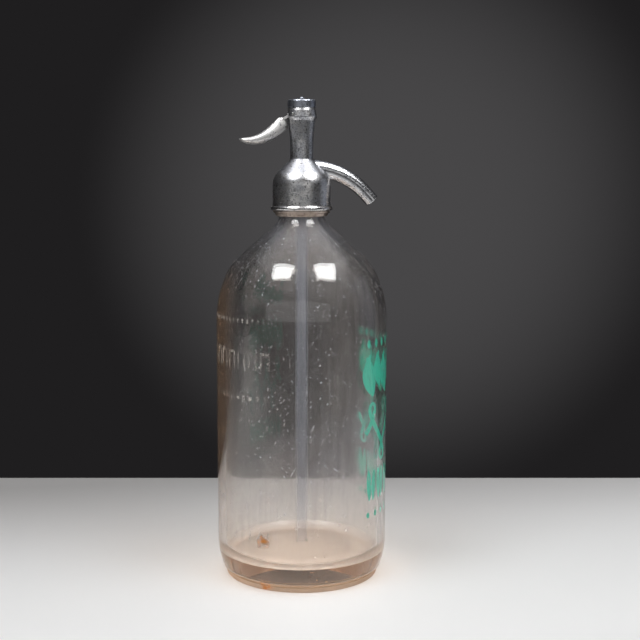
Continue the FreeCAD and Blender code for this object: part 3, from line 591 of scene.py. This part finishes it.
def at_corner(corners, i):
    """A corner's place, and the ways from it back to the last corner and on to the next."""
    here = Vector(corners[i][:2])
    back, on = ((Vector(corners[j][:2]) - here).normalized() for j in (i - 1, i + 1))
    return here, back, on


def set_in(corners, depths, rounds):
    """An outline's corners between its ends, moved in by each stretch's own depth."""
    inner = []
    for i, size in enumerate(rounds, 1):
        here, back, on = at_corner(corners, i)
        moved = here + (on * depths[i - 1] + back * depths[i]) / on.cross(back)
        inner.append((*moved, size))
    return inner


def wall_corners(radius):
    """The outside from the heel up to the lip, for a bottle of that radius."""
    return [(radius, HEEL_CENTRE[1], 0.0), (radius, WALL_TOP, SHOULDER_LOW_ROUND),
            (*CONE_FOOT, SHOULDER_HIGH_ROUND), (NECK_RADIUS, NECK_FOOT, NECK_ROUND),
            (NECK_RADIUS, LIP_FOOT, 0.0)]


def outer_corners():
    """From the heel up, over the lip and into the bore."""
    return [*wall_corners(BOTTLE_RADIUS), (LIP_RADIUS, LIP_FOOT, 0.4),
            (LIP_RADIUS, LIP_TOP, LIP_ROUND), (BORE_RADIUS, LIP_TOP, LIP_ROUND)]


def inner_corners():
    """From the bore down to the middle of the floor."""
    depths = [GLASS_WALL] * 3 + [NECK_RADIUS - BORE_RADIUS]
    rounds = [SHOULDER_LOW_ROUND - GLASS_WALL, SHOULDER_HIGH_ROUND - GLASS_WALL,
              NECK_ROUND + GLASS_WALL]
    return [*reversed(set_in(wall_corners(GLASS_RADIUS), depths, rounds)),
            (GLASS_RADIUS - GLASS_WALL, FLOOR, 9.0), (0.0, FLOOR, 0.0)]


def rounded(corners):
    """The outline's points, its corners drawn as arcs."""
    points = []
    for i, (r, z, size) in enumerate(corners):
        if not size:
            points.append(Vector((r, z)))
            continue
        here, back, on = at_corner(corners, i)
        half = back.angle(on) / 2
        centre = here + (back + on).normalized() * size / math.sin(half)
        start = here + back * size / math.tan(half) - centre
        sweep = start.angle_signed(here + on * size / math.tan(half) - centre)
        steps = max(2, math.ceil(math.degrees(abs(sweep)) / ARC_STEP))
        for k in range(steps + 1):
            turned = start.copy()
            turned.rotate(Matrix.Rotation(-sweep * k / steps, 2))
            points.append(centre + turned)
    return points


def heel():
    """The bulged arc from the foot up to the straight wall."""
    centre = Vector(HEEL_CENTRE)
    sweep = math.asin((HEEL_CENTRE[1] - HEEL_FOOT) / HEEL_RADIUS)
    steps = math.ceil(math.degrees(sweep) / ARC_STEP)
    return [centre + HEEL_RADIUS * Vector((math.cos(a), -math.sin(a)))
            for a in (sweep * (1 - k / steps) for k in range(1, steps))]


def turned_mesh(name, points, turns):
    """Turns an outline that starts and ends on the axis into a closed skin."""
    rings = points[1:-1]
    verts = [(0, 0, points[0].y * MM)]
    for p in rings:
        for k in range(turns):
            a = 2 * math.pi * k / turns
            verts.append((p.x * MM * math.cos(a), p.x * MM * math.sin(a), p.y * MM))
    verts.append((0, 0, points[-1].y * MM))
    last = len(verts) - 1
    faces = []
    for k in range(turns):
        n = (k + 1) % turns
        faces.append((0, 1 + n, 1 + k))
        faces.append((last, last - turns + k, last - turns + n))
        for j in range(len(rings) - 1):
            a, b = 1 + j * turns, 1 + (j + 1) * turns
            faces.append((a + k, a + n, b + n, b + k))
    mesh = bpy.data.meshes.new(name)
    mesh.from_pydata(verts, [], faces)
    mesh.shade_smooth()
    return mesh


def piece(name, mesh, material, body="siphon"):
    """A finished piece, riding on its body."""
    thing = bpy.data.objects.new(name, mesh)
    scene.collection.objects.link(thing)
    mesh.materials.clear()
    mesh.materials.append(material)
    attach(thing, body)
    return thing


def bottle(material):
    """The glass as one skin. Its attribute "inside" is 1 from the lip's inner edge to the floor."""
    outline = [*rounded(FOOT), *heel(), *rounded(outer_corners() + inner_corners())]
    mesh = turned_mesh("glass_bottle", outline, BOTTLE_TURNS)
    lip = max(range(len(outline)), key=lambda i: outline[i].y)
    inside = mesh.attributes.new("inside", "FLOAT", "POINT")
    inside.data.foreach_set("value", [float(i > (lip + 1) * BOTTLE_TURNS)
                                      for i in range(len(mesh.vertices))])
    glass = piece("glass_bottle", mesh, material)
    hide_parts("bottle")


# Ornament printed and etched on the bottle: each row repeats a motif drawn flat in millimetres.

ETCH_THICKNESS = 0.02
MOTIF_SINK = 0.02             # how far a motif's back lies in the glass
BRUSH_COLUMNS = 4


def stroke(path, widths):
    """A flat ribbon along a path: its vertices and faces."""
    verts, faces = [], []
    for i, point in enumerate(path):
        a, b = Vector(path[max(i - 1, 0)]), Vector(path[min(i + 1, len(path) - 1)])
        side = (b - a).normalized().orthogonal()
        for j in range(BRUSH_COLUMNS + 1):
            place = Vector(point) + side * widths[i] * (j / BRUSH_COLUMNS - 0.5)
            verts.append((place.x, place.y, 0.0))
    row = BRUSH_COLUMNS + 1
    for i in range(len(path) - 1):
        for j in range(BRUSH_COLUMNS):
            a = i * row + j
            faces.append((a, a + 1, a + 1 + row, a + row))
    return verts, faces


def blade(foot, tip, width, bow=0.0, steps=14):
    """A stroke that swells from one point to another and tapers again."""
    foot, tip = Vector(foot), Vector(tip)
    across = (tip - foot).normalized().orthogonal()
    path, widths = [], []
    for i in range(steps + 1):
        t = i / steps
        path.append(foot.lerp(tip, t) + across * bow * math.sin(math.pi * t))
        widths.append(max(0.15, width * math.sin(math.pi * (0.04 + 0.92 * t)) ** 0.7))
    return stroke(path, widths)


def scroll(width, height, pen, steps=48):
    """A running scroll, one wave long: thin where it turns, thick where it falls."""
    path, widths = [], []
    for i in range(steps + 1):
        t = i / steps
        angle = 2 * math.pi * t
        path.append((width * (t - 0.5) + 0.22 * width * math.sin(2 * angle),
                     height / 2 * math.sin(angle)))
        widths.append(pen * (0.55 + 0.45 * abs(math.cos(angle))))
    return stroke(path, widths)


def motif_mesh(name, strokes):
    """One flat mesh of all of a motif's strokes."""
    verts, faces = [], []
    for more, over in strokes:
        faces += [tuple(v + len(verts) for v in face) for face in over]
        verts += more
    mesh = bpy.data.meshes.new(name)
    mesh.from_pydata([(x * MM, y * MM, z * MM) for x, y, z in verts], [], faces)
    return mesh


def row_tree():
    """Repeats a flat motif in a row, gives it thickness and wraps the row round the bottle."""
    tree = bpy.data.node_groups.new("wrapped_row", "GeometryNodeTree")
    sockets = {}
    for name, kind in (("Geometry", "Geometry"), ("Count", "Int"), ("Spacing", "Float"),
                       ("Height", "Float"), ("Radius", "Float"), ("Middle", "Float"),
                       ("Thickness", "Float"), ("Sink", "Float"), ("Material", "Material")):
        sockets[name] = tree.interface.new_socket(
            name, in_out="INPUT", socket_type="NodeSocket" + kind).identifier
    tree.interface.new_socket("Geometry", in_out="OUTPUT", socket_type="NodeSocketGeometry")
    given = add(tree, "NodeGroupInput").node.outputs

    gaps = add(tree, "ShaderNodeMath", {0: given["Count"], 1: -1.0}, operation="ADD")
    length = add(tree, "ShaderNodeMath", {0: gaps, 1: given["Spacing"]}, operation="MULTIPLY")
    half = add(tree, "ShaderNodeMath", {0: length, 1: -0.5}, operation="MULTIPLY")
    line = add(tree, "GeometryNodeMeshLine", {
        "Count": given["Count"], "Start Location": add(tree, "ShaderNodeCombineXYZ", {"X": half}),
        "Offset": add(tree, "ShaderNodeCombineXYZ", {"X": given["Spacing"]})})
    copies = add(tree, "GeometryNodeInstanceOnPoints", {
        "Points": line, "Instance": given["Geometry"]})
    flat = add(tree, "GeometryNodeRealizeInstances", {"Geometry": copies})
    solid = add(tree, "GeometryNodeExtrudeMesh", {
        "Mesh": flat, "Offset Scale": given["Thickness"], "Individual": False})
    both = add(tree, "GeometryNodeJoinGeometry", {"Geometry": solid})
    tree.links.new(add(tree, "GeometryNodeFlipFaces", {"Mesh": flat}),
                   both.node.inputs["Geometry"])
    whole = add(tree, "GeometryNodeMergeByDistance", {
        "Geometry": both, "Distance": 0.002 * MM})

    place = add(tree, "ShaderNodeSeparateXYZ", {
        "Vector": add(tree, "GeometryNodeInputPosition")}).node.outputs
    along = add(tree, "ShaderNodeMath", {0: place["X"], 1: given["Radius"]}, operation="DIVIDE")
    turn = add(tree, "ShaderNodeMath", {0: given["Middle"], 1: along}, operation="ADD")
    glass = add(tree, "ShaderNodeMath", {0: given["Radius"], 1: given["Sink"]},
                operation="SUBTRACT")
    out_to = add(tree, "ShaderNodeMath", {0: glass, 1: place["Z"]}, operation="ADD")
    cosine = add(tree, "ShaderNodeMath", {0: turn}, operation="COSINE")
    sine = add(tree, "ShaderNodeMath", {0: turn}, operation="SINE")
    wrapped = add(tree, "ShaderNodeCombineXYZ", {
        "X": add(tree, "ShaderNodeMath", {0: out_to, 1: cosine}, operation="MULTIPLY"),
        "Y": add(tree, "ShaderNodeMath", {0: out_to, 1: sine}, operation="MULTIPLY"),
        "Z": add(tree, "ShaderNodeMath", {0: given["Height"], 1: place["Y"]},
                 operation="ADD")})
    bent = add(tree, "GeometryNodeSetPosition", {"Geometry": whole, "Position": wrapped})
    real = add(tree, "GeometryNodeRealizeInstances", {"Geometry": bent})
    dressed = add(tree, "GeometryNodeSetMaterial", {
        "Geometry": real, "Material": given["Material"]})
    add(tree, "NodeGroupOutput", {"Geometry": dressed})
    return tree, sockets


def wrapped_row(tree, sockets, name, strokes, material, slot, **sizes):
    """One row of ornament as a finished piece."""
    source = bpy.data.objects.new(name + "_motif", motif_mesh(name, strokes))
    scene.collection.objects.link(source)
    modifier = source.modifiers.new("row", "NODES")
    modifier.node_group = tree
    for key, value in {"Radius": BOTTLE_RADIUS * MM, "Material": material, **sizes}.items():
        modifier[sockets[key]] = value
    graph = bpy.context.evaluated_depsgraph_get()
    mesh = bpy.data.meshes.new_from_object(source.evaluated_get(graph))
    source.modifiers.remove(modifier)
    bpy.data.objects.remove(source)
    mesh.name = name
    piece(name, mesh, material)


ENAMEL_MIDDLE = math.radians(-12.0)
ETCH_MIDDLE = math.radians(208.0)
ENAMEL_ROWS = {                # copies, spacing, height of the row and strokes of one copy
    "enamel_lozenges": (10, 8.0, 150.5, [blade((0, -2.6), (0, 2.6), 3.2)]),
    "enamel_leaves": (4, 19.5, 131.5, [
        blade((-9.0, 11.0), (-2.0, -13.0), 6.5, 2.5), blade((-5.0, 12.5), (-2.0, -13.0), 6.0, -6.0),
        blade((2.0, 13.0), (6.0, -8.0), 5.0, 1.5), blade((4.5, 14.0), (6.0, -8.0), 4.5, -4.5)]),
    "enamel_scrolls": (3, 25.5, 95.5, [scroll(25.5, 36.0, 3.6)]),
    "enamel_reeds": (7, 11.0, 63.0, [
        blade((-2.5, 9.5), (-1.5, -9.5), 4.6), blade((3.2, 9.5), (2.2, -9.5), 4.2)]),
    "enamel_dots": (10, 8.0, 44.5, [blade((0, -1.8), (0, 1.8), 3.0)]),
}
ETCH_ROWS = {
    "etched_lozenges": (14, 3.9, 165.5, [blade((0, -1.4), (0, 1.4), 1.5)]),
    "etched_arches": (7, 8.6, 141.5, [
        blade((-2.6, -5.5), (-2.6, 5.5), 1.6), blade((2.6, -5.5), (2.6, 5.5), 1.6),
        blade((-3.2, 5.0), (3.2, 5.0), 1.5)]),
    "etched_beads": (11, 5.2, 119.0, [blade((0, -1.6), (0, 1.6), 2.2)]),
    "etched_reeds": (10, 6.0, 34.5, [blade((-1.0, -4.0), (1.0, 4.0), 1.8)]),
}


def ornament():
    """All the rows: teal enamel towards the spout, etching towards the lever."""
    tree, sockets = row_tree()
    for rows, material, middle, thickness in (
            (ENAMEL_ROWS, fired_enamel(), ENAMEL_MIDDLE, ENAMEL_THICKNESS),
            (ETCH_ROWS, etched_glass(), ETCH_MIDDLE, ETCH_THICKNESS)):
        for name, (count, spacing, height, strokes) in rows.items():
            wrapped_row(tree, sockets, name, strokes, material, "bottle_glass", Count=count,
                        Spacing=spacing * MM, Height=height * MM, Middle=middle,
                        Thickness=(thickness + MOTIF_SINK) * MM, Sink=MOTIF_SINK * MM)


# Stage.

def emissive(name, colour, strength):
    """An evenly glowing sheet's material."""
    material, tree = new_material(name)
    add(tree, "ShaderNodeOutputMaterial", {"Surface": add(tree, "ShaderNodeEmission", {
        "Color": colour, "Strength": strength})})
    return material


def painted_board():
    """Pale matt paint, with painted shade where the light falls off to the front, far edge and far
    left.
    """
    material, tree = new_material("painted_board")
    place = add(tree, "ShaderNodeMapping", {
        "Vector": add(tree, "ShaderNodeTexCoord", out="Object"),
        "Rotation": (0, 0, math.radians(-TABLE_LIGHT_TURN)),
        "Location": (0, TABLE_LIGHT_CENTRE * math.sin(math.radians(TABLE_LIGHT_TURN)), 0)})
    near, far = TABLE_PAINTED_SHADE[0][0], TABLE_PAINTED_SHADE[-1][0]
    share = add(tree, "ShaderNodeMapRange", {
        "Value": add(tree, "ShaderNodeSeparateXYZ", {"Vector": place}, "Y"),
        "From Min": near, "From Max": far})
    shade = add(tree, "ShaderNodeValToRGB", {"Fac": share}, stops=[
        ((place - near) / (far - near), linear(code)) for place, code in TABLE_PAINTED_SHADE])
    shade.node.color_ramp.interpolation = "B_SPLINE"
    grit = add(tree, "ShaderNodeTexNoise", {
        "Vector": in_mm(tree), "Scale": 1 / 1.2, "Detail": 4.0})
    add(tree, "ShaderNodeOutputMaterial", {"Surface": add(tree, "ShaderNodeBsdfPrincipled", {
        "Base Color": shade, "Roughness": 0.6,
        "Normal": add(tree, "ShaderNodeBump", {
            "Height": grit, "Strength": 0.25, "Distance": 0.2 * MM})})})
    return material


def table():
    """Pale table with a painted fall-off of light, its far edge square to the view."""
    corners = [(x, y, z) for z in (-TABLE_THICKNESS, 0) for y in (-TABLE_FRONT, TABLE_BACK)
               for x in (-TABLE_HALF_WIDTH, TABLE_HALF_WIDTH)]
    faces = [(0, 2, 3, 1), (4, 5, 7, 6), (0, 1, 5, 4), (2, 6, 7, 3), (0, 4, 6, 2), (1, 3, 7, 5)]
    mesh = bpy.data.meshes.new("table")
    mesh.from_pydata(corners, [], faces)
    mesh.materials.append(painted_board())
    board = bpy.data.objects.new("table", mesh)
    board.rotation_euler.z = -math.radians(CAMERA_HEADING)
    scene.collection.objects.link(board)


def as_the_camera_stands(way):
    """A direction given as right, away and up, turned to the frame's axes."""
    return Euler((0, 0, -math.radians(CAMERA_HEADING))).to_matrix() @ Vector(way).normalized()


def lamp(side, width, height, power):
    """The light that a box sheds. Gloss and clear glass show its card instead."""
    data = bpy.data.lights.new("soft_box_" + side, "AREA")
    data.shape = "RECTANGLE"
    data.size, data.size_y, data.energy = width, height, power
    light = bpy.data.objects.new(data.name, data)
    light.visible_glossy = light.visible_transmission = False
    return light


def card(side, width, height, shine, colour):
    """What gloss and clear glass show of a box: a flat, evenly lit sheet."""
    w, h = width / 2, height / 2
    mesh = bpy.data.meshes.new("card_" + side)
    mesh.from_pydata([(-w, -h, 0), (w, -h, 0), (w, h, 0), (-w, h, 0)], [], [(0, 1, 2, 3)])
    mesh.materials.append(emissive("card_" + side, linear(colour), shine))
    sheet = bpy.data.objects.new(mesh.name, mesh)
    sheet.visible_camera = sheet.visible_diffuse = False
    sheet.visible_shadow = sheet.visible_volume_scatter = False
    return sheet


def soft_boxes():
    """Two large overhead boxes, and a window, room front and ceiling that only gloss shows."""
    for side, (way, turn, width, height, power, shine, colour) in BOXES.items():
        direction = as_the_camera_stands(way)
        things = [card(side, width, height, shine, colour)]
        if power:
            things.append(lamp(side, width, height, power))
        for thing in things:
            thing.location = Vector(BOX_AIM) + BOX_DISTANCE * direction
            thing.rotation_mode = "QUATERNION"
            thing.rotation_quaternion = (direction.to_track_quat("Z", "Y")
                                         @ Quaternion((0, 0, 1), math.radians(turn)))
            scene.collection.objects.link(thing)


def room():
    """Dark room to the eye, to gloss and through glass; a soft pale fill for matt surfaces."""
    world = bpy.data.worlds.new("room")
    world.use_nodes = True
    tree = world.node_tree
    tree.nodes.clear()
    facing = add(tree, "ShaderNodeVectorMath", {
        0: add(tree, "ShaderNodeTexCoord", out="Generated"),
        1: as_the_camera_stands(WALL_LIGHT_WAY)}, "Value", operation="DOT_PRODUCT")
    pool = add(tree, "ShaderNodeMapRange", {
        "Value": facing, "From Min": math.cos(math.radians(WALL_LIGHT_SPREAD)), "From Max": 1.0},
        interpolation_type="SMOOTHSTEP")
    shade = add(tree, "ShaderNodeMix", {
        "Factor": pool, "A": linear(WALL_SHADE), "B": linear(WALL_LIGHT)}, data_type="RGBA")
    path = add(tree, "ShaderNodeLightPath").node.outputs
    seen = path["Is Camera Ray"]
    for ray in ("Is Glossy Ray", "Is Transmission Ray"):
        seen = add(tree, "ShaderNodeMath", {0: seen, 1: path[ray]}, operation="MAXIMUM")
    add(tree, "ShaderNodeOutputWorld", {"Surface": add(tree, "ShaderNodeMixShader", {
        0: seen,
        1: add(tree, "ShaderNodeBackground", {"Color": grey(1.0), "Strength": ROOM_FILL}),
        2: add(tree, "ShaderNodeBackground", {"Color": shade, "Strength": 1.0})})})
    scene.world = world


def camera():
    """A long lens, level with the head and turned a little to the right."""
    data = bpy.data.cameras.new("camera")
    data.lens = CAMERA_LENS
    data.shift_x = CAMERA_SHIFT
    eye = bpy.data.objects.new("camera", data)
    eye.location = CAMERA_PLACE
    eye.rotation_euler = (math.radians(90 - CAMERA_PITCH), 0, -math.radians(CAMERA_HEADING))
    scene.collection.objects.link(eye)
    scene.camera = eye


camera()
room()
table()
soft_boxes()
made = finishes()
dress_nodes(made)
bottle(made["bottle_glass"])
ornament()
scene.view_settings.view_transform = "Standard"
